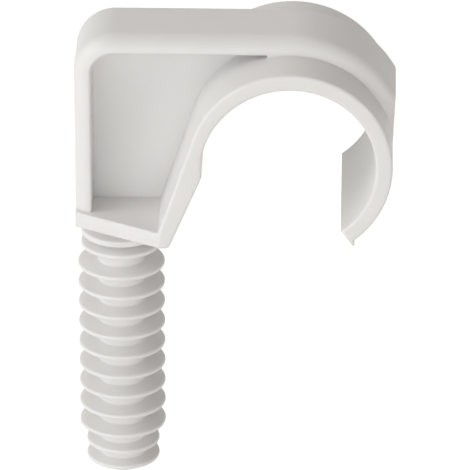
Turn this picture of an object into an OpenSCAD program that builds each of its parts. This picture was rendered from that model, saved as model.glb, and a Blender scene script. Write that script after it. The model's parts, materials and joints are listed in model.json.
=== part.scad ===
// Hammer-in conduit clip, moulded in one piece: a ribbed plug, a channelled arm and
// a wide open ring, joined by a slanting strut and a thin web.
// The origin is on the plug's axis, where it enters the wall. +Z points out of the
// wall, +X towards the ring, and +Y runs along the conduit.

/* [Ring] */
// Bore of the ring, the conduit's diameter with its clearance
bore_d = 20.4; // [12:0.1:40]
// Wall of the ring
ring_wall = 2; // [1:0.1:4]
// Width of the ring along the conduit
ring_w = 22; // [14:0.5:40]
// Distance from the plug's axis to the near side of the ring
ring_gap = 8.5; // [7:0.1:12]
// Gap between the bore and the wall that the clip is fixed to
wall_gap = 0.6; // [0:0.1:3]
// How far below the ring's centre line its free end stops, in degrees
free_end_angle = 53.5; // [30:0.5:64]
// How far the bore opens out on the strut's side
strut_relief = 0.35; // [0.2:0.05:0.5]
// How far the flat inside the ring runs below its centre line
flat_drop = 1.4; // [0.8:0.1:3]
// Height of the lip along the free end
lip_h = 0.45; // [0.2:0.05:1]
// Width of the lip along the free end
lip_w = 0.55; // [0.3:0.05:1]

/* [Arm] */
// Width of the arm
arm_w = 10.6; // [7:0.1:13]
// Wall of the arm
arm_wall = 2; // [1.2:0.1:3]
// Radius along the arm's outer edges
arm_edge_r = 1.9; // [0.5:0.1:2.5]
// Distance from the plug's axis to the arm's back
arm_back = 5.3; // [4:0.1:7]
// Inner radius of the arm's corner
corner_in_r = 2.8; // [1:0.1:4]
// How far the arm's end stands out past the ring
arm_end_out = 0.3; // [0.1:0.05:1]
// Distance from the ring's centre back to the end of the pocket
pocket_end = 2.9; // [1:0.1:4]

/* [Base and web] */
// Thickness of the base
base_t = 2; // [1.2:0.1:3]
// Distance from the plug's axis to the strut's face at the base
strut_x = 4.9; // [4:0.1:6]
// Thickness of the strut's foot
foot_t = 1.3; // [0.8:0.1:2]
// Thickness of the web
web_t = 2; // [1:0.1:4]

/* [Plug] */
// Diameter of the plug's core
core_d = 6; // [4:0.1:7]
// Diameter over the main ribs, for a 10 mm hole
rib_d = 10.6; // [9:0.1:12]
// Thickness of a rib at its rim
rib_rim_t = 0.5; // [0.3:0.05:0.8]
// Thickness of a rib at the core
rib_root_t = 1.1; // [0.8:0.05:1.3]
// Distance from one main rib to the next
rib_pitch = 2.72; // [2.2:0.01:4]
// Number of main ribs
rib_count = 9; // [4:1:14]
// Depth of the first main rib below the wall
rib_start = 7.1; // [6:0.1:12]
// Diameter over the two ribs at the mouth of the hole
neck_rib_d = 9.8; // [8:0.1:11]
// Depth of the first neck rib below the wall
neck_rib_start = 2.6; // [1.6:0.1:3]
// Thickness of the first neck rib at its rim
neck_rim_t = 0.8; // [0.4:0.05:1]
// Distance from the first neck rib to the second
neck_rib_pitch = 1.75; // [1.4:0.05:1.9]
// Diameter over the two ribs at the tip
tip_rib_d = 9; // [7.2:0.1:11]
// Distance from the last main rib to the first tip rib
tip_rib_step = 2.65; // [1.5:0.05:4]
// Distance from one tip rib to the next
tip_rib_pitch = 2.15; // [1.5:0.05:4]
// Length of the tip below the last rib
tip_len = 2; // [1.2:0.1:6]

/* [Hidden] */
$fn = 96;
overlap = 0.5;
bore_r = bore_d / 2;
ring_r = bore_r + ring_wall;
ring_x = ring_gap + ring_r;
ring_z = bore_r + wall_gap;
// the ring's outer wall holds the arm and the strut down to this radius
seat_r = bore_r + ring_wall / 2;
// on the strut's side the bore runs on a larger radius, which touches it at this angle
relief_angle = 110;
relief_grow = 2.3 * strut_relief;
flat_x = ring_x - bore_r - strut_relief;
flat_z = ring_z - flat_drop;
// the strut leaves the base at its face and runs on at a tangent to the ring
strut_run = [ring_x - strut_x, ring_z - base_t];
strut_angle = 180 + atan2(strut_run[1], strut_run[0]) - acos(ring_r / norm(strut_run));
strut_top = [ring_x + ring_r * cos(strut_angle), ring_z + ring_r * sin(strut_angle)];
// the arm's top wall lies on the ring
arm_r = ring_r + arm_wall;
ceiling_z = ring_z + ring_r;
edge_r = min(arm_edge_r, 0.95 * arm_wall);
corner_x = corner_in_r + arm_wall - arm_back;
corner_z = ceiling_z - corner_in_r;
arm_end_x = ring_r + arm_end_out;
arm_end_z = sqrt(arm_r * arm_r - arm_end_x * arm_end_x);
arm_end_lean = atan2(arm_end_out, arm_end_z);
// ribs of the plug from the wall down, each as [depth, diameter, thickness at the rim]
tip_start = rib_start + (rib_count - 1) * rib_pitch + tip_rib_step;
ribs = concat(
    [[neck_rib_start, neck_rib_d, neck_rim_t]],
    [[neck_rib_start + neck_rib_pitch, neck_rib_d, rib_rim_t]],
    [for (i = [0:rib_count - 1]) [rib_start + i * rib_pitch, rib_d, rib_rim_t]],
    [for (i = [0:1]) [tip_start + i * tip_rib_pitch, tip_rib_d, rib_rim_t]]);
plug_len = tip_start + tip_rib_pitch + tip_len;
tip_chamfer = min(tip_len - rib_root_t / 2, core_d / 4);

function polar(r, a) = [r * cos(a), r * sin(a)];

// Stands a drawing of X and Z up, and gives it a width along Y
module along_conduit(w) {
    rotate([90, 0, 0]) linear_extrude(height = w, center = true) children();
}

// Sector between two angles, wider than the ring
module sector(from, to) {
    far = 2 * arm_r;
    polygon(concat([[0, 0]], [for (i = [0:4]) polar(far, from + (to - from) * i / 4)]));
}

// Section across the arm's wall, with x across the arm and y up to its outer face
module rim_section(t) {
    flat_w = arm_w - 2 * edge_r;
    intersection() {
        translate([-arm_w / 2, 0]) square([arm_w, t]);
        union() {
            translate([-arm_w / 2, 0]) square([arm_w, t - edge_r]);
            translate([-flat_w / 2, 0]) square([flat_w, t]);
            for (side = [-1, 1])
                translate([side * flat_w / 2, t - edge_r]) circle(r = edge_r);
        }
    }
}

// Rim section turned about an axis along Y, from one angle to another
module rim_bend(inner_r, t, from, to) {
    rotate([90, 0, 0]) rotate([0, 0, from]) rotate_extrude(angle = to - from)
        translate([inner_r, 0]) rotate(-90) rim_section(t);
}

// Half of a rib's section from the core out to the rim, above the rib's middle or below it
function rib_side(rib, side) = [
    [core_d / 2, -rib[0] + side * rib_root_t / 2],
    [rib[1] / 2, -rib[0] + side * rib[2] / 2]];

module plug() {
    rotate_extrude() polygon(concat(
        [[0, base_t / 2], [core_d / 2, base_t / 2]],
        [for (rib = ribs)
            each [rib_side(rib, 1)[0], rib_side(rib, 1)[1],
                  rib_side(rib, -1)[1], rib_side(rib, -1)[0]]],
        [[core_d / 2, tip_chamfer - plug_len], [core_d / 2 - tip_chamfer, -plug_len],
         [0, -plug_len]]));
}

// The base widens from the arm's width to the ring's
module base() {
    foot_x = strut_x + foot_t / 2;
    linear_extrude(height = base_t) polygon([
        [-arm_back, -arm_w / 2], [strut_x, -ring_w / 2], [foot_x, -ring_w / 2],
        [foot_x, ring_w / 2], [strut_x, ring_w / 2], [-arm_back, arm_w / 2]]);
}

module strut() {
    along_conduit(ring_w) polygon([
        [strut_x, 0], [strut_x, base_t], strut_top,
        [flat_x, strut_top[1]], [flat_x, flat_z], [strut_x + foot_t, 0]]);
}

// The ring runs from its free end over the top to the strut
module ring() {
    translate([ring_x, 0, ring_z]) along_conduit(ring_w) {
        intersection() {
            difference() {
                circle(r = ring_r);
                circle(r = bore_r);
            }
            sector(-free_end_angle, relief_angle);
        }
        intersection() {
            difference() {
                circle(r = ring_r);
                translate(polar(-relief_grow, relief_angle)) circle(r = bore_r + relief_grow);
            }
            sector(relief_angle, 180);
        }
        rotate(-free_end_angle) polygon([
            [seat_r, 0], [ring_r + lip_h, 0], [ring_r + lip_h, lip_w / 2],
            [ring_r, lip_w], [seat_r, lip_w]]);
    }
}

module arm() {
    deep = arm_wall + ring_wall / 2;
    // back wall, above the base
    translate([arm_wall - arm_back, 0, base_t - overlap]) rotate([0, 0, 90])
        linear_extrude(height = corner_z - base_t + overlap) rim_section(arm_wall);
    translate([corner_x, 0, corner_z]) rim_bend(corner_in_r, arm_wall, 90, 180);
    // top wall as far as the end of the pocket, then a thicker stretch on the ring
    translate([corner_x, 0, ceiling_z]) rotate([90, 0, 90])
        linear_extrude(height = ring_x - pocket_end - corner_x) rim_section(arm_wall);
    translate([ring_x - pocket_end, 0, ceiling_z + arm_wall - deep]) rotate([90, 0, 90])
        linear_extrude(height = pocket_end) rim_section(deep);
    // end over the ring, cut off by a nearly upright face that meets the ring's side
    translate([ring_x, 0, ring_z]) intersection() {
        rim_bend(seat_r, deep, 0, 90);
        translate([ring_r, 0, 0]) rotate([0, arm_end_lean, 0])
            translate([-2 * arm_r, 0, -arm_r]) rotate([0, 0, -90])
                linear_extrude(height = 3 * arm_r) rim_section(2 * arm_r);
    }
}

// The web fills the space between the arm, the base, the strut and the ring
module web() {
    left = arm_wall / 2 - arm_back;
    top = ceiling_z + arm_wall / 2;
    along_conduit(web_t) {
        difference() {
            polygon([
                [left, base_t / 2], [strut_x + foot_t / 2, base_t / 2],
                [(strut_x + flat_x + foot_t) / 2, flat_z], [ring_x, ring_z], [ring_x, top],
                [corner_x, top], [corner_x, corner_z], [left, corner_z]]);
            translate([ring_x, ring_z]) circle(r = seat_r);
        }
        translate([corner_x, corner_z]) circle(r = corner_in_r + arm_wall / 2);
    }
}

module clip_moulding() {
    color([0.88, 0.88, 0.87]) union() {
        plug();
        base();
        strut();
        ring();
        arm();
        web();
    }
}

clip_moulding();
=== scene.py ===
"""Looks of the conduit clip: its rounded moulding, ribbed plug, plastic and studio."""

import json
import math

import bmesh
import bpy
from bpy.props import FloatProperty, FloatVectorProperty, IntProperty, PointerProperty
from mathutils import Matrix, Vector


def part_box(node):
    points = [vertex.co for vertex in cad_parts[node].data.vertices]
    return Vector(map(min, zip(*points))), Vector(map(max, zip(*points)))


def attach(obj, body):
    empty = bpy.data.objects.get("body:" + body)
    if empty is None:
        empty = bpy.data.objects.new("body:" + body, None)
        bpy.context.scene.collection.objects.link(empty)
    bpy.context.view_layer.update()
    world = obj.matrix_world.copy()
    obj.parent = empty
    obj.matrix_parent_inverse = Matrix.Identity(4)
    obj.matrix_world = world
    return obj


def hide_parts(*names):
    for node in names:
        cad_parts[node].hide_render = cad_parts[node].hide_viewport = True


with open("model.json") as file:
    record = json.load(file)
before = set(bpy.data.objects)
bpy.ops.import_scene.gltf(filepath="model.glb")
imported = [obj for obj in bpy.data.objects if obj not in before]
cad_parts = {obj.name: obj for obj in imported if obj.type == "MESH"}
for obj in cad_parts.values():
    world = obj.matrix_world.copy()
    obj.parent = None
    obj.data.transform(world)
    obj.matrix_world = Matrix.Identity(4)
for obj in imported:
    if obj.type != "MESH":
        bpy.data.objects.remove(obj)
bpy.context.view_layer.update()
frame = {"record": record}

bl_info = {
    "name": "Conduit clip",
    "version": (1, 0, 0),
    "blender": (4, 5, 0),
    "location": "View3D > Sidebar > Clip",
    "description": "Builds a hammer-in conduit clip in moulded plastic, with its studio",
    "category": "Add Mesh",
}

NODE = "clip_moulding"
SEAT = next(mount for mount in frame["record"]["mounts"] if mount["name"] == "conduit_seat")
MM = 0.001

# joined parts stop this short of each other's planes, so that no two faces coincide
HAIR = 0.01 * MM
# points closer than this are one point
WELD = 1e-6
# the most of a side that the rounding of one corner takes
CORNER_SHARE = 0.49
# on the strut's side the bore runs on a larger radius, which touches it at this angle
RELIEF_ANGLE = math.radians(110)
RELIEF_GROWTH = 2.3
# edges that turn by more than this stay sharp
BODY_SHARP, PLUG_SHARP = math.radians(32), math.radians(40)

# the plastic's noise scales, and how strongly its sheen and its surface change
CLOUD_SCALE, SHEEN_SCALE, GRAIN_SCALE, FLOW_SCALE = 160.0, 420.0, 5200.0, 300.0
SHEEN_CHANGE = 0.12
FLOW_HEIGHT = 3.0
GRAIN_DEPTH = 0.02 * MM
CORNER_SAMPLES = 8
PLASTIC_IOR = 1.46
# how much light goes through the plastic, how far for each colour, and at what scale
THROUGH, THROUGH_RADIUS, THROUGH_SCALE = 0.2, (1.0, 0.95, 0.85), 1.2 * MM
BODY_FINISH = {"Roughness": 0.42, "Grain": 0.12, "Clouding": 0.03, "Softness": 0.45 * MM}
PLUG_FINISH = {"Roughness": 0.46, "Grain": 0.14, "Clouding": 0.03, "Softness": 0.15 * MM}

# the camera's aim, angles, distance and lens, fitted to the photograph
CAMERA_TARGET = Vector((0.0138686, 0.0, -0.0034762))
CAMERA_AZIMUTH, CAMERA_ELEVATION = math.radians(-1.473), math.radians(26.571)
CAMERA_DISTANCE = 0.6599566
CAMERA_LENS, CAMERA_SENSOR = 415.0, 36.0
CAMERA_NEAR, CAMERA_FAR = 0.05, 20.0
# the floor's drop below the clip, its size, and how far it brightens itself for the camera
FLOOR_DROP, FLOOR_SIZE = 0.12, 4.0
FLOOR_ROUGHNESS, FLOOR_GLOW = 0.9, 0.6
# strength and colour of the world's light on the clip, and the white that it shows
AMBIENT = 0.17
AMBIENT_COLOUR, WHITE = (1.0, 0.95, 0.88, 1), (1, 1, 1, 1)
LAMP_DISTANCE, LAMP_SIZE = 0.8, 0.5
# name, azimuth to the left of the front and elevation in degrees, watts, colour
LAMPS = (
    ("front_lamp", 0, 8, 1.34, (1.0, 1.0, 1.0)),
    ("left_front_lamp", 38, 15, 1.18, (1.0, 1.0, 1.0)),
    ("left_lamp", 75, 25, 2.50, (1.0, 1.0, 1.0)),
    ("left_high_lamp", 60, 52, 0.74, (1.0, 0.98, 0.95)),
    ("rear_high_lamp", 170, 50, 1.00, (1.0, 0.96, 0.90)),
    ("right_lamp", -60, 8, 1.45, (1.0, 0.98, 0.95)),
)


def length(name, description, default):
    """A size in metres, whose default is given in millimetres."""
    return FloatProperty(name=name, description=description, default=default * MM, min=0.0,
                         precision=5, subtype="DISTANCE", unit="LENGTH")


# Sizes and colours


class RingSizes(bpy.types.PropertyGroup):
    centre_x: length("Centre X", "Ring's centre, from the plug's axis", SEAT["pos_m"][0] / MM)
    centre_z: length("Centre Z", "Ring's centre, from the wall", SEAT["pos_m"][2] / MM)
    bore_r: length("Bore radius", "Inner radius of the ring", SEAT["dims"]["r_mm"])
    width: length("Width", "Width of the ring along the conduit", SEAT["dims"]["length_mm"])
    wall: length("Wall", "Wall of the ring", 2.0)
    free_end: FloatProperty(
        name="Free end", description="How far below the centre line the ring's free end stops",
        default=math.radians(53.5), subtype="ANGLE", unit="ROTATION")
    relief: length("Relief", "How far the bore opens out on the strut's side", 0.35)
    flat_drop: length("Flat drop", "How far the inner flat runs below the centre line", 1.4)
    lip_h: length("Lip height", "Height of the lip along the free end", 0.45)
    lip_w: length("Lip width", "Width of the lip along the free end", 0.55)
    edge_r: length("Edge radius", "Rounding along the front and rear edges", 0.32)
    corner_r: length("Corner radius", "Rounding of the outline's corners", 0.3)


class ArmSizes(bpy.types.PropertyGroup):
    width: length("Width", "Width of the arm", 10.6)
    wall: length("Wall", "Wall of the arm", 2.0)
    edge_r: length("Edge radius", "Rounding along the outer edges", 1.9)
    rim_r: length("Rim radius", "Rounding along the pocket's rim", 0.14)
    back: length("Back", "Distance from the plug's axis to the arm's back", 5.3)
    corner_r: length("Corner radius", "Inner radius of the arm's corner", 2.8)
    end_out: length("End", "How far the arm's end stands out past the ring", 0.3)
    end_r: length("End radius", "Rounding between the arm's top and its end", 0.55)
    pocket_end: length("Pocket end", "Distance from the ring's centre to the pocket's end", 2.9)


class BaseSizes(bpy.types.PropertyGroup):
    thickness: length("Thickness", "Thickness of the base", 2.0)
    strut_x: length("Strut", "Distance from the plug's axis to the strut's face", 4.9)
    foot: length("Foot", "Thickness of the strut's foot", 1.3)
    web: length("Web", "Thickness of the web", 2.0)
    edge_r: length("Edge radius", "Rounding along the base's edges", 0.16)
    corner_r: length("Corner radius", "Rounding of the base's upright corners", 0.20)


class PlugSizes(bpy.types.PropertyGroup):
    core_r: length("Core radius", "Radius of the plug's core", 2.85)
    neck_start: length("Neck start", "Depth of the first neck rib", 2.6)
    neck_t: length("Neck rim", "Thickness of the first neck rib at its rim", 0.8)
    neck_pitch: length("Neck pitch", "Distance between the two neck ribs", 1.75)
    neck_r: length("Neck rib radius", "Radius over the neck ribs", 4.9)
    main_count: IntProperty(name="Main ribs", description="Ribs along the plug", default=9, min=1)
    main_start: length("Main start", "Depth of the first main rib", 7.1)
    main_pitch: length("Main pitch", "Distance between main ribs", 2.72)
    main_r: length("Main rib radius", "Radius over the main ribs", 5.3)
    tip_count: IntProperty(name="Tip ribs", description="Ribs at the tip", default=2, min=1)
    tip_step: length("Tip step", "Distance from the last main rib to the first tip rib", 2.65)
    tip_pitch: length("Tip pitch", "Distance between tip ribs", 2.15)
    tip_r: length("Tip rib radius", "Radius over the tip ribs", 4.5)
    tip_end: length("Tip", "Length below the last rib", 2.0)
    chamfer: length("Chamfer", "Chamfer of the tip", 1.45)
    rim_t: length("Rim", "Thickness of a rib at its rim", 0.5)
    root_t: length("Root", "Thickness of a rib at the core", 0.95)
    rim_r: length("Rim rounding", "Rounding of a rib's rim", 0.23)
    root_r: length("Root rounding", "Rounding where a rib meets the core", 0.2)


class ClipColours(bpy.types.PropertyGroup):
    plastic: FloatVectorProperty(
        name="Plastic", description="Colour of the moulding", subtype="COLOR", size=3,
        min=0, max=1, default=(0.79, 0.784, 0.776))
    floor: FloatVectorProperty(
        name="Floor", description="Colour of the floor", subtype="COLOR", size=3,
        min=0, max=1, default=(0.9, 0.9, 0.9))


# Outlines


def polar(centre, r, angle):
    return centre[0] + r * math.cos(angle), centre[1] + r * math.sin(angle)


def arc(centre, r, start, end, step=math.radians(2.5)):
    """Points of an arc, both ends among them."""
    count = max(2, round(abs(end - start) / step))
    return [polar(centre, r, start + (end - start) * i / count) for i in range(count + 1)]


def rounded(points, radii, steps=5):
    """A closed outline with its corners rounded; radii maps a point's number to its radius."""
    out = []
    for i, point in enumerate(points):
        if i not in radii:
            out.append(point)
            continue
        here = Vector(point)
        before, after = Vector(points[i - 1]) - here, Vector(points[(i + 1) % len(points)]) - here
        half = before.angle(after) / 2
        reach = min(radii[i] / math.tan(half),
                    CORNER_SHARE * before.length, CORNER_SHARE * after.length)
        start, end = here + before.normalized() * reach, here + after.normalized() * reach
        middle = here + (before.normalized() + after.normalized()).normalized() * (
            reach / math.cos(half))
        r = (start - middle).length
        for k in range(steps + 1):
            mix = start.lerp(end, k / steps) - middle
            out.append(tuple(middle + mix.normalized() * r))
    return out


def strut_tangent(ring, base):
    """Point on the ring's outside where the strut's straight side touches it, and its angle."""
    outer = ring.bore_r + ring.wall
    run = Vector((ring.centre_x - base.strut_x, ring.centre_z - base.thickness))
    angle = math.pi + math.atan2(run.y, run.x) - math.acos(outer / run.length)
    return polar((ring.centre_x, ring.centre_z), outer, angle), angle


def ring_outline(ring, base):
    """Outline of the ring and the strut, from the free end round the outside and back."""
    centre = (ring.centre_x, ring.centre_z)
    outer, end = ring.bore_r + ring.wall, -ring.free_end
    top, top_angle = strut_tangent(ring, base)
    flat_x = ring.centre_x - ring.bore_r - ring.relief
    grow = RELIEF_GROWTH * ring.relief
    relief_at = polar(centre, -grow, RELIEF_ANGLE)
    relief_r = ring.bore_r + grow
    relief_to = math.pi - math.asin(
        math.sqrt(relief_r ** 2 - (relief_at[0] - flat_x) ** 2) / relief_r)
    points = [polar(centre, ring.bore_r, end)] + arc(centre, outer, end, top_angle)
    foot = len(points)
    points += [(base.strut_x, base.thickness), (base.strut_x, 0.0),
               (base.strut_x + base.foot, 0.0), (flat_x, ring.centre_z - ring.flat_drop)]
    points += arc(relief_at, relief_r, relief_to, RELIEF_ANGLE)
    points += arc(centre, ring.bore_r, RELIEF_ANGLE, end)[1:-1]
    # the foot's inner corner and the two ends of the flat, each rounder than a plain corner
    foot_r, flat_low_r, flat_high_r = (times * ring.corner_r for times in (1.7, 4, 2))
    return rounded(points, {foot + 2: foot_r, foot + 3: flat_low_r, foot + 4: flat_high_r})


def lip_outline(ring):
    """Outline of the small lip along the ring's free end."""
    outer = ring.bore_r + ring.wall
    inside = outer - ring.wall / 2
    turn = Matrix.Rotation(-ring.free_end, 2)
    centre = Vector((ring.centre_x, ring.centre_z))
    points = [tuple(centre + turn @ Vector(p)) for p in (
        (inside, HAIR), (outer + ring.lip_h, HAIR), (outer + ring.lip_h, ring.lip_w / 2),
        (outer, ring.lip_w), (inside, ring.lip_w))]
    small = ring.lip_w / 4
    return rounded(points, {1: small, 2: small, 3: small})


def base_outline(base, arm, ring):
    """Outline of the base, which widens from the arm's width to the ring's."""
    narrow, wide = arm.width / 2, ring.width / 2 - 2 * HAIR
    # the full width starts where the strut's rounded edge has nearly ended
    near = base.strut_x + 0.75 * ring.edge_r
    back, far = HAIR - arm.back, base.strut_x + base.foot / 2
    return rounded(
        [(back, -narrow), (near, -wide), (far, -wide), (far, wide), (near, wide),
         (back, narrow)], {0: base.corner_r, 5: base.corner_r})


def web_outline(base, arm, ring):
    """Outline of the web, whose edges all end inside its neighbours."""
    outer = ring.bore_r + ring.wall
    top, left = ring.centre_z + outer + arm.wall / 2, arm.wall / 2 - arm.back
    corner = (arm.wall - arm.back + arm.corner_r, ring.centre_z + outer - arm.corner_r)
    return [(left, base.thickness / 2), (base.strut_x + base.foot / 2, base.thickness / 2),
            *arc((ring.centre_x, ring.centre_z), outer - ring.wall / 2, math.pi, math.pi / 2),
            (ring.centre_x, top),
            *arc(corner, arm.corner_r + arm.wall / 2, math.pi / 2, math.pi)]


# Meshes


def close(mesh_data, name):
    """Merges a closed mesh's doubles, turns its faces outwards and makes it an object."""
    bmesh.ops.remove_doubles(mesh_data, verts=mesh_data.verts[:], dist=WELD)
    bmesh.ops.dissolve_degenerate(mesh_data, edges=mesh_data.edges[:], dist=WELD)
    bmesh.ops.recalc_face_normals(mesh_data, faces=mesh_data.faces[:])
    mesh = bpy.data.meshes.new(name)
    mesh_data.to_mesh(mesh)
    mesh_data.free()
    made = bpy.data.objects.new(name, mesh)
    bpy.context.scene.collection.objects.link(made)
    return made


def inset(outline, by):
    """An outline moved inwards by a distance, corner by corner."""
    after = outline[1:] + outline[:1]
    area = sum(p[0] * q[1] - q[0] * p[1] for p, q in zip(outline, after))
    side = math.copysign(by, area)
    moved = []
    for before, point, following in zip(outline[-1:] + outline[:-1], outline, after):
        run_in = (Vector(point) - Vector(before)).normalized()
        run_out = (Vector(following) - Vector(point)).normalized()
        ways = run_in.orthogonal() + run_out.orthogonal()
        moved.append(tuple(Vector(point) + ways * side / (1 + run_in.dot(run_out))))
    return moved


def prism(name, outline, low, high, upright, edge_r, steps=4):
    """An outline pulled out from low to high, with the edges of both ends rounded.

    An upright outline holds X and Z and is pulled out along Y. The other kind holds X and Y.
    """
    turns = [math.radians(90) * k / steps for k in range(steps + 1)] if edge_r else [0.0]
    levels = [(low + edge_r * (1 - math.cos(a)), edge_r * (1 - math.sin(a))) for a in turns]
    levels += [(low + high - level, by) for level, by in reversed(levels)]
    data = bmesh.new()
    rings = []
    for level, by in levels:
        place = (lambda p: (p[0], level, p[1])) if upright else (lambda p: (*p, level))
        rings.append([data.verts.new(place(p)) for p in (inset(outline, by) if by else outline)])
    data.faces.new(rings[0])
    data.faces.new(rings[-1])
    count = len(outline)
    for a, b in zip(rings, rings[1:]):
        for i in range(count):
            j = (i + 1) % count
            data.faces.new((a[i], a[j], b[j], b[i]))
    return close(data, name)


def arm_section(arm, depth, steps=8, rim_steps=2):
    """Points across the arm's wall, each as its place along Y and its depth from the outside."""
    half, r = arm.width / 2, arm.edge_r
    low = min(arm.rim_r, (depth - r) / 2)
    side = [(half - low * (1 - math.sin(a)), depth - low * (1 - math.cos(a)))
            for a in (math.radians(90) * k / rim_steps for k in range(rim_steps + 1))]
    side += [(half - r * (1 - math.cos(a)), r * (1 - math.sin(a)))
             for a in (math.radians(90) * k / steps for k in range(steps + 1))]
    return side + [(-y, v) for y, v in reversed(side)]


def arm_stations(arm, base, ring):
    """Stations along the arm's outer line, each as a depth and the way from there inwards."""
    outer = ring.bore_r + ring.wall
    ceiling = ring.centre_z + outer
    top = ceiling + arm.wall
    corner = (arm.wall - arm.back + arm.corner_r, ceiling - arm.corner_r)
    centre = (ring.centre_x, ring.centre_z)
    thin, thick = arm.wall, arm.wall + ring.wall / 2

    def straight(x, z, dx, dz):
        return lambda v: (x + v * dx, z + v * dz)

    def turning(middle, r, angle):
        return lambda v: polar(middle, r - v, angle)

    bend_steps, arc_steps, knuckle_steps, end_steps = 18, 28, 6, 12
    stations = [(thin, straight(-arm.back, base.thickness / 2, 1, 0)),
                (thin, straight(-arm.back, corner[1], 1, 0))]
    for i in range(1, bend_steps + 1):
        angle = math.pi - math.pi / 2 * i / bend_steps
        stations.append((thin, turning(corner, arm.corner_r + arm.wall, angle)))
    step_x = ring.centre_x - arm.pocket_end
    stations += [(depth, straight(x, top, 0, -1)) for depth, x in (
        (thin, step_x), (thick, step_x), (thick, ring.centre_x))]
    # over the ring, then round a small corner to the nearly upright end
    big, small = outer + arm.wall, arm.end_r
    end_x = outer + arm.end_out
    end_z = math.sqrt(big ** 2 - end_x ** 2)
    lean = math.atan2(arm.end_out, end_z)
    inward = Vector((-math.cos(lean), math.sin(lean)))
    up = Vector((math.sin(lean), math.cos(lean)))
    gap = Vector((outer, 0)).dot(-inward)

    def corner_at(v):
        """Height along the end at which the surfaces at depth v below top and end meet."""
        return math.sqrt((big - v) ** 2 - (gap - v) ** 2)

    def on_end(v, along):
        return Vector(centre) - inward * (gap - v) + up * min(along, corner_at(v))

    def over_ring(angle):
        def place(v):
            meets = on_end(v, corner_at(v)) - Vector(centre)
            return polar(centre, big - v, max(angle, math.atan2(meets.y, meets.x)))
        return place

    knuckle = on_end(small, corner_at(small))
    start = math.atan2(knuckle.y - centre[1], knuckle.x - centre[0])

    def round_knuckle(angle):
        def place(v):
            if v < small:
                return polar(knuckle, small - v, angle)
            return tuple(on_end(v, corner_at(v)))
        return place

    for i in range(1, arc_steps + 1):
        angle = math.pi / 2 + (start - math.pi / 2) * i / arc_steps
        stations.append((thick, over_ring(angle)))
    for i in range(1, knuckle_steps + 1):
        stations.append((thick, round_knuckle(start + (-lean - start) * i / knuckle_steps)))
    # the end runs on a little below the height at which it meets the ring's side
    below = 0.3 * MM
    high, low_end = corner_at(small), outer * math.sin(lean) - below
    for i in range(1, end_steps + 1):
        along = high + (low_end - high) * i / end_steps
        seat = math.sqrt((outer - ring.wall / 2) ** 2 - along ** 2)
        depth = max(arm.edge_r + 2 * HAIR, gap - seat)
        stations.append((depth, lambda v, along=along: tuple(on_end(v, along))))
    return stations


def arm_mesh(arm, base, ring):
    """The arm, a rounded channel section carried along its line."""
    data = bmesh.new()
    rows = []
    for depth, place in arm_stations(arm, base, ring):
        row = []
        for y, v in arm_section(arm, depth):
            x, z = place(v)
            row.append(data.verts.new((x, y, z)))
        rows.append(row)
    for a, b in zip(rows, rows[1:]):
        for i in range(len(a)):
            j = (i + 1) % len(a)
            data.faces.new((a[i], a[j], b[j], b[i]))
    data.faces.new(rows[0])
    data.faces.new(rows[-1])
    return close(data, "arm_part")


def join_solids(first, others):
    """Joins solids that run into each other to one, and leaves only the first object."""
    for other in others:
        union = first.modifiers.new("union", "BOOLEAN")
        union.operation, union.solver, union.object = "UNION", "EXACT", other
    bake(first)
    for other in others:
        bpy.data.objects.remove(other)


def bake(made):
    """Turns an object's modifiers into plain mesh."""
    bpy.context.view_layer.update()
    evaluated = made.evaluated_get(bpy.context.evaluated_depsgraph_get())
    mesh = bpy.data.meshes.new_from_object(evaluated)
    if not mesh.polygons:
        raise RuntimeError(f"{made.name} came out without faces")
    made.modifiers.clear()
    made.data = mesh
    mesh.name = made.name


def smooth(made, sharp_angle):
    """Smooth shading that keeps flat faces flat and sharp edges sharp."""
    data = bmesh.new()
    data.from_mesh(made.data)
    bmesh.ops.remove_doubles(data, verts=data.verts[:], dist=2 * WELD)
    for face in data.faces:
        face.smooth = True
    for edge in data.edges:
        edge.smooth = edge.calc_face_angle(0) < sharp_angle
    data.to_mesh(made.data)
    data.free()
    weighted = made.modifiers.new("weighted", "WEIGHTED_NORMAL")
    weighted.keep_sharp = True
    bake(made)


# Node trees


def put(tree, kind, inputs=(), **settings):
    """Adds a node, with its settings, and its inputs by number or name."""
    node = tree.nodes.new(kind)
    for name, value in settings.items():
        setattr(node, name, value)
    for key, value in dict(inputs).items():
        if isinstance(value, bpy.types.NodeSocket):
            tree.links.new(value, node.inputs[key])
        else:
            node.inputs[key].default_value = value
    return node


def maths(tree, operation, *values):
    return put(tree, "ShaderNodeMath", dict(enumerate(values)), operation=operation).outputs[0]


def pick(tree, test, no, yes):
    """yes where test is 1, and no where it is 0."""
    keep = maths(tree, "MULTIPLY", no, maths(tree, "SUBTRACT", 1.0, test))
    return maths(tree, "ADD", keep, maths(tree, "MULTIPLY", yes, test))


PLUG_INPUTS = (*PlugSizes.__annotations__, "sunk")


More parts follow.
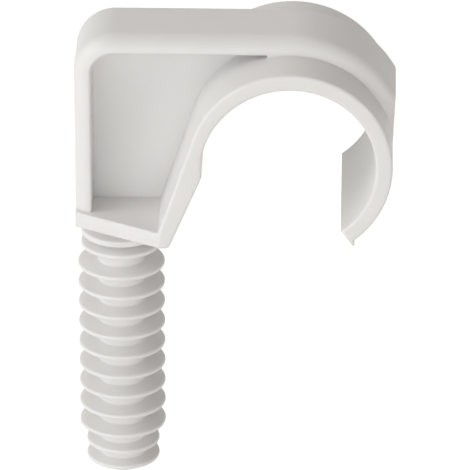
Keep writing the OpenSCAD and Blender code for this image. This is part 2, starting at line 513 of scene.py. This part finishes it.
def plug_tree(material):
    """Geometry nodes that draw the plug's profile, rib after rib, and turn it round the axis."""
    tree = bpy.data.node_groups.new("plug_ribs", "GeometryNodeTree")
    face = tree.interface
    face.new_socket("Geometry", in_out="INPUT", socket_type="NodeSocketGeometry")
    for name in PLUG_INPUTS:
        kind = "NodeSocketInt" if name.endswith("count") else "NodeSocketFloat"
        face.new_socket(name, in_out="INPUT", socket_type=kind)
    face.new_socket("Geometry", in_out="OUTPUT", socket_type="NodeSocketGeometry")
    given = put(tree, "NodeGroupInput").outputs

    def less(a, b):
        return maths(tree, "LESS_THAN", a, b)

    # the profile has two points at its top, four for each rib, and three at its tip
    neck_count, lead, corners, tail = 2.0, 2.0, 4.0, 3.0
    ribs = maths(tree, "ADD", maths(tree, "ADD", given["main_count"], given["tip_count"]),
                 neck_count)
    total = maths(tree, "ADD", maths(tree, "MULTIPLY", ribs, corners), lead + tail)
    index = put(tree, "GeometryNodeInputIndex").outputs[0]
    along = maths(tree, "SUBTRACT", index, lead)
    rib = maths(tree, "FLOOR", maths(tree, "DIVIDE", along, corners))
    corner = maths(tree, "SUBTRACT", along, maths(tree, "MULTIPLY", rib, corners))
    main = maths(tree, "SUBTRACT", rib, neck_count)
    tip = maths(tree, "SUBTRACT", main, given["main_count"])
    in_neck, in_main = less(main, -0.5), less(tip, -0.5)
    last_main = maths(tree, "MULTIPLY_ADD",
                      maths(tree, "SUBTRACT", given["main_count"], 1.0), given["main_pitch"],
                      given["main_start"])
    tip_start = maths(tree, "ADD", last_main, given["tip_step"])
    depth = pick(
        tree, in_neck,
        pick(tree, in_main,
             maths(tree, "MULTIPLY_ADD", tip, given["tip_pitch"], tip_start),
             maths(tree, "MULTIPLY_ADD", main, given["main_pitch"], given["main_start"])),
        maths(tree, "MULTIPLY_ADD", rib, given["neck_pitch"], given["neck_start"]))
    reach = pick(tree, in_neck, pick(tree, in_main, given["tip_r"], given["main_r"]),
                 given["neck_r"])
    # corners 0 and 3 lie on the core, 1 and 2 on the rim; 0 and 1 are on the upper side
    off_middle = maths(tree, "ABSOLUTE", maths(tree, "SUBTRACT", corner, 1.5))
    on_rim, upper = less(off_middle, 1.0), less(corner, 1.5)
    extra = maths(tree, "MULTIPLY", maths(tree, "SUBTRACT", given["neck_t"], given["rim_t"]),
                  less(rib, 0.5))
    half = maths(tree, "MULTIPLY", pick(
        tree, on_rim, given["root_t"], maths(tree, "ADD", given["rim_t"], extra)), 0.5)
    rib_y = maths(tree, "SUBTRACT", maths(tree, "ADD", depth, half),
                  maths(tree, "MULTIPLY", maths(tree, "MULTIPLY", half, 2.0), upper))
    rib_x = pick(tree, on_rim, given["core_r"], reach)
    # the profile's two ends
    bottom = maths(tree, "ADD", maths(tree, "ADD", tip_start, given["tip_end"]),
                   maths(tree, "MULTIPLY", given["tip_pitch"],
                         maths(tree, "SUBTRACT", given["tip_count"], 1.0)))
    ending = maths(tree, "SUBTRACT", along, maths(tree, "MULTIPLY", ribs, corners))
    tail_x = pick(tree, less(ending, 0.5),
                  pick(tree, less(ending, 1.5), 0.0,
                       maths(tree, "SUBTRACT", given["core_r"], given["chamfer"])),
                  given["core_r"])
    tail_y = pick(tree, less(ending, 0.5), bottom,
                  maths(tree, "SUBTRACT", bottom, given["chamfer"]))
    in_tail, in_lead = less(-0.5, ending), less(along, -0.5)
    x = pick(tree, in_lead, pick(tree, in_tail, rib_x, tail_x),
             maths(tree, "MULTIPLY", given["core_r"], less(0.5, index)))
    y = pick(tree, in_lead, pick(tree, in_tail, rib_y, tail_y),
             maths(tree, "MULTIPLY", given["sunk"], -1.0))
    round_r = pick(tree, in_lead,
                   pick(tree, in_tail, pick(tree, on_rim, given["root_r"], given["rim_r"]),
                        maths(tree, "MULTIPLY", given["root_r"], less(ending, 1.5))), 0.0)
    # a circle of this radius carries the profile round, so the profile is moved in by as much
    hub, round_steps, turn_steps = 1.0 * MM, 4, 112
    line = put(tree, "GeometryNodeCurvePrimitiveLine")
    points = put(tree, "GeometryNodeResampleCurve", {"Curve": line.outputs[0], "Count": total})
    spot = put(tree, "ShaderNodeCombineXYZ", {0: maths(tree, "SUBTRACT", x, hub), 1: y})
    drawn = put(tree, "GeometryNodeSetPosition",
                {"Geometry": points.outputs[0], "Position": spot.outputs[0]})
    softened = put(tree, "GeometryNodeFilletCurve",
                   {"Curve": drawn.outputs[0], "Radius": round_r, "Limit Radius": True,
                    "Count": round_steps}, mode="POLY")
    circle = put(tree, "GeometryNodeCurvePrimitiveCircle",
                 {"Resolution": turn_steps, "Radius": hub})
    turned = put(tree, "GeometryNodeCurveToMesh",
                 {"Curve": circle.outputs[0], "Profile Curve": softened.outputs[0]})
    welded = put(tree, "GeometryNodeMergeByDistance",
                 {"Geometry": turned.outputs[0], "Distance": WELD})
    real = put(tree, "GeometryNodeRealizeInstances", {"Geometry": welded.outputs[0]})
    dressed = put(tree, "GeometryNodeSetMaterial",
                  {"Geometry": real.outputs[0], "Material": material})
    put(tree, "NodeGroupOutput", {"Geometry": dressed.outputs[0]})
    return tree


def moulded_skin():
    """Shader group: an injection moulding's faint clouding, sheen and grain, and soft corners."""
    found = bpy.data.node_groups.get("moulded_skin")
    if found:
        return found
    tree = bpy.data.node_groups.new("moulded_skin", "ShaderNodeTree")
    face = tree.interface
    face.new_socket("Colour", in_out="INPUT", socket_type="NodeSocketColor")
    for name, value in BODY_FINISH.items():
        socket = face.new_socket(name, in_out="INPUT", socket_type="NodeSocketFloat")
        socket.default_value = value
    face.new_socket("Colour", in_out="OUTPUT", socket_type="NodeSocketColor")
    face.new_socket("Roughness", in_out="OUTPUT", socket_type="NodeSocketFloat")
    face.new_socket("Normal", in_out="OUTPUT", socket_type="NodeSocketVector")
    given = put(tree, "NodeGroupInput").outputs
    place = put(tree, "ShaderNodeTexCoord").outputs["Object"]
    cloud = put(tree, "ShaderNodeTexNoise",
                {"Vector": place, "Scale": CLOUD_SCALE, "Detail": 3.0, "Roughness": 0.55})
    shade = maths(tree, "MULTIPLY_ADD", maths(tree, "SUBTRACT", cloud.outputs["Fac"], 0.5),
                  given["Clouding"], 1.0)
    tinted = put(tree, "ShaderNodeVectorMath", {0: given["Colour"], "Scale": shade},
                 operation="SCALE")
    sheen = put(tree, "ShaderNodeTexNoise",
                {"Vector": place, "Scale": SHEEN_SCALE, "Detail": 2.0})
    rough = maths(tree, "MULTIPLY_ADD", maths(tree, "SUBTRACT", sheen.outputs["Fac"], 0.5),
                  SHEEN_CHANGE, given["Roughness"])
    grain = put(tree, "ShaderNodeTexNoise",
                {"Vector": place, "Scale": GRAIN_SCALE, "Detail": 2.0, "Roughness": 0.6})
    flow = put(tree, "ShaderNodeTexNoise",
               {"Vector": place, "Scale": FLOW_SCALE, "Detail": 1.0})
    height = maths(tree, "MULTIPLY_ADD", flow.outputs["Fac"], FLOW_HEIGHT,
                   grain.outputs["Fac"])
    soft = put(tree, "ShaderNodeBevel", {"Radius": given["Softness"]}, samples=CORNER_SAMPLES)
    bump = put(tree, "ShaderNodeBump",
               {"Strength": given["Grain"], "Distance": GRAIN_DEPTH, "Height": height,
                "Normal": soft.outputs[0]})
    put(tree, "NodeGroupOutput",
        {"Colour": tinted.outputs[0], "Roughness": rough, "Normal": bump.outputs[0]})
    return tree


def plastic(name, colour, finish):
    """Satin light grey moulding plastic, as a material."""
    made = bpy.data.materials.new(name)
    made.use_nodes = True
    tree = made.node_tree
    tree.nodes.clear()
    skin = put(tree, "ShaderNodeGroup", node_tree=moulded_skin())
    skin.inputs["Colour"].default_value = (*colour, 1)
    for socket, value in finish.items():
        skin.inputs[socket].default_value = value
    surface = put(tree, "ShaderNodeBsdfPrincipled",
                  {"Base Color": skin.outputs["Colour"], "Roughness": skin.outputs["Roughness"],
                   "Normal": skin.outputs["Normal"], "IOR": PLASTIC_IOR,
                   "Subsurface Weight": THROUGH, "Subsurface Radius": THROUGH_RADIUS,
                   "Subsurface Scale": THROUGH_SCALE})
    put(tree, "ShaderNodeOutputMaterial", {"Surface": surface.outputs[0]})
    return made


def finish_piece(made, name):
    """Names a finished piece and ties it to the frame."""
    made.name = name
    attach(made, "root")
    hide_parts(NODE)


# Operators and the studio


class CLIP_OT_body(bpy.types.Operator):
    """Makes the arm, the ring, the strut, the base and the web as one rounded moulding"""

    bl_idname = "clip.body"
    bl_label = "Clip body"
    bl_options = {"REGISTER", "UNDO"}

    def execute(self, context):
        scene = context.scene
        ring, arm, base = scene.clip_ring, scene.clip_arm, scene.clip_base
        half = ring.width / 2
        body = prism("body_part", ring_outline(ring, base), -half, half, True, ring.edge_r)
        others = [
            prism("lip_part", lip_outline(ring), 2 * HAIR - half, half - 2 * HAIR, True,
                  ring.lip_w / 5),
            prism("base_part", base_outline(base, arm, ring), HAIR, base.thickness, False,
                  base.edge_r),
            arm_mesh(arm, base, ring),
            prism("web_part", web_outline(base, arm, ring), -base.web / 2, base.web / 2, True, 0)]
        join_solids(body, others)
        smooth(body, BODY_SHARP)
        body.data.materials.clear()
        body.data.materials.append(
            plastic("body_plastic", scene.clip_colours.plastic, BODY_FINISH))
        finish_piece(body, "clip_body")
        return {"FINISHED"}


class CLIP_OT_plug(bpy.types.Operator):
    """Makes the ribbed plug with geometry nodes"""

    bl_idname = "clip.plug"
    bl_label = "Ribbed plug"
    bl_options = {"REGISTER", "UNDO"}

    def execute(self, context):
        scene = context.scene
        material = plastic("plug_plastic", scene.clip_colours.plastic, PLUG_FINISH)
        plug = bpy.data.objects.new("ribbed_plug", bpy.data.meshes.new("ribbed_plug"))
        scene.collection.objects.link(plug)
        nodes = plug.modifiers.new("ribs", "NODES")
        nodes.node_group = plug_tree(material)
        for item in nodes.node_group.interface.items_tree:
            if item.item_type != "SOCKET" or item.in_out != "INPUT" or item.name == "Geometry":
                continue
            if item.name == "sunk":
                nodes[item.identifier] = scene.clip_base.thickness / 2
            else:
                nodes[item.identifier] = getattr(scene.clip_plug, item.name)
        bake(plug)
        smooth(plug, PLUG_SHARP)
        finish_piece(plug, "ribbed_plug")
        return {"FINISHED"}


class CLIP_OT_studio(bpy.types.Operator):
    """Makes the camera, the lights, the white world and the pale floor"""

    bl_idname = "clip.studio"
    bl_label = "Studio"
    bl_options = {"REGISTER", "UNDO"}

    def execute(self, context):
        scene = context.scene
        low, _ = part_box(NODE)
        set_camera(scene)
        for name, azimuth, elevation, power, colour in LAMPS:
            turn = Matrix.Rotation(math.radians(-azimuth), 3, "Z")
            lift = Matrix.Rotation(math.radians(-elevation), 3, "X")
            away = turn @ lift @ Vector((0.0, -LAMP_DISTANCE, 0.0))
            add_lamp(scene, name, CAMERA_TARGET + away, power, colour)
        scene.world = white_world()
        scene.view_settings.view_transform = "Standard"
        add_floor(scene, low.z - FLOOR_DROP)
        return {"FINISHED"}


def set_camera(scene):
    """A camera with a long lens, at the angle of the photograph."""
    data = bpy.data.cameras.new("camera")
    data.lens, data.sensor_width = CAMERA_LENS, CAMERA_SENSOR
    data.clip_start, data.clip_end = CAMERA_NEAR, CAMERA_FAR
    camera = bpy.data.objects.new("camera", data)
    scene.collection.objects.link(camera)
    flat = math.cos(CAMERA_ELEVATION)
    look = Vector((math.sin(CAMERA_AZIMUTH) * flat, math.cos(CAMERA_AZIMUTH) * flat,
                   -math.sin(CAMERA_ELEVATION)))
    camera.location = CAMERA_TARGET - look * CAMERA_DISTANCE
    camera.rotation_euler = look.to_track_quat("-Z", "Y").to_euler()
    scene.camera = camera


def add_lamp(scene, name, place, power, colour):
    """A square soft lamp that faces the clip."""
    data = bpy.data.lights.new(name, "AREA")
    data.energy, data.size, data.color = power, LAMP_SIZE, colour
    lamp = bpy.data.objects.new(name, data)
    scene.collection.objects.link(lamp)
    lamp.location = place
    lamp.rotation_euler = (CAMERA_TARGET - place).to_track_quat("-Z", "Y").to_euler()


def seen(tree):
    """1 for rays from the camera, or seen in a reflection or through glass."""
    path = put(tree, "ShaderNodeLightPath").outputs
    mirror = maths(tree, "MAXIMUM", path["Is Glossy Ray"], path["Is Transmission Ray"])
    return maths(tree, "MAXIMUM", path["Is Camera Ray"], mirror)


def white_world():
    """A white background, which lights the clip faintly and a little warmer than it shows."""
    world = bpy.data.worlds.new("white_world")
    world.use_nodes = True
    tree = world.node_tree
    tree.nodes.clear()
    shown = seen(tree)
    strength = maths(tree, "MULTIPLY_ADD", shown, 1.0 - AMBIENT, AMBIENT)
    colour = put(tree, "ShaderNodeMixRGB",
                 {"Fac": shown, "Color1": AMBIENT_COLOUR, "Color2": WHITE})
    sky = put(tree, "ShaderNodeBackground",
              {"Color": colour.outputs[0], "Strength": strength})
    put(tree, "ShaderNodeOutputWorld", {"Surface": sky.outputs[0]})
    return world


def add_floor(scene, level):
    """A pale floor below the clip, which takes its shadow."""
    data = bmesh.new()
    bmesh.ops.create_grid(data, x_segments=1, y_segments=1, size=FLOOR_SIZE,
                          matrix=Matrix.Translation((0, 0, level)))
    mesh = bpy.data.meshes.new("floor")
    data.to_mesh(mesh)
    data.free()
    floor = bpy.data.objects.new("floor", mesh)
    scene.collection.objects.link(floor)
    material = bpy.data.materials.new("floor_paint")
    material.use_nodes = True
    tree = material.node_tree
    surface = tree.nodes["Principled BSDF"]
    surface.inputs["Base Color"].default_value = (*scene.clip_colours.floor, 1)
    surface.inputs["Roughness"].default_value = FLOOR_ROUGHNESS
    surface.inputs["Emission Color"].default_value = WHITE
    tree.links.new(maths(tree, "MULTIPLY", seen(tree), FLOOR_GLOW),
                   surface.inputs["Emission Strength"])
    mesh.materials.append(material)


class CLIP_PT_panel(bpy.types.Panel):
    bl_idname = "CLIP_PT_panel"
    bl_label = "Conduit clip"
    bl_space_type = "VIEW_3D"
    bl_region_type = "UI"
    bl_category = "Clip"

    def draw(self, context):
        for operator in OPERATORS:
            self.layout.operator(operator.bl_idname)


OPERATORS = (CLIP_OT_body, CLIP_OT_plug, CLIP_OT_studio)
GROUPS = {"clip_ring": RingSizes, "clip_arm": ArmSizes, "clip_base": BaseSizes,
          "clip_plug": PlugSizes, "clip_colours": ClipColours}
CLASSES = (*GROUPS.values(), *OPERATORS, CLIP_PT_panel)


def register():
    for item in CLASSES:
        bpy.utils.register_class(item)
    for name, group in GROUPS.items():
        setattr(bpy.types.Scene, name, PointerProperty(type=group))


def unregister():
    for name in GROUPS:
        delattr(bpy.types.Scene, name)
    for item in reversed(CLASSES):
        bpy.utils.unregister_class(item)


def main():
    register()
    bpy.ops.clip.body()
    bpy.ops.clip.plug()
    bpy.ops.clip.studio()
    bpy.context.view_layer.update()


if __name__ == "__main__":
    main()
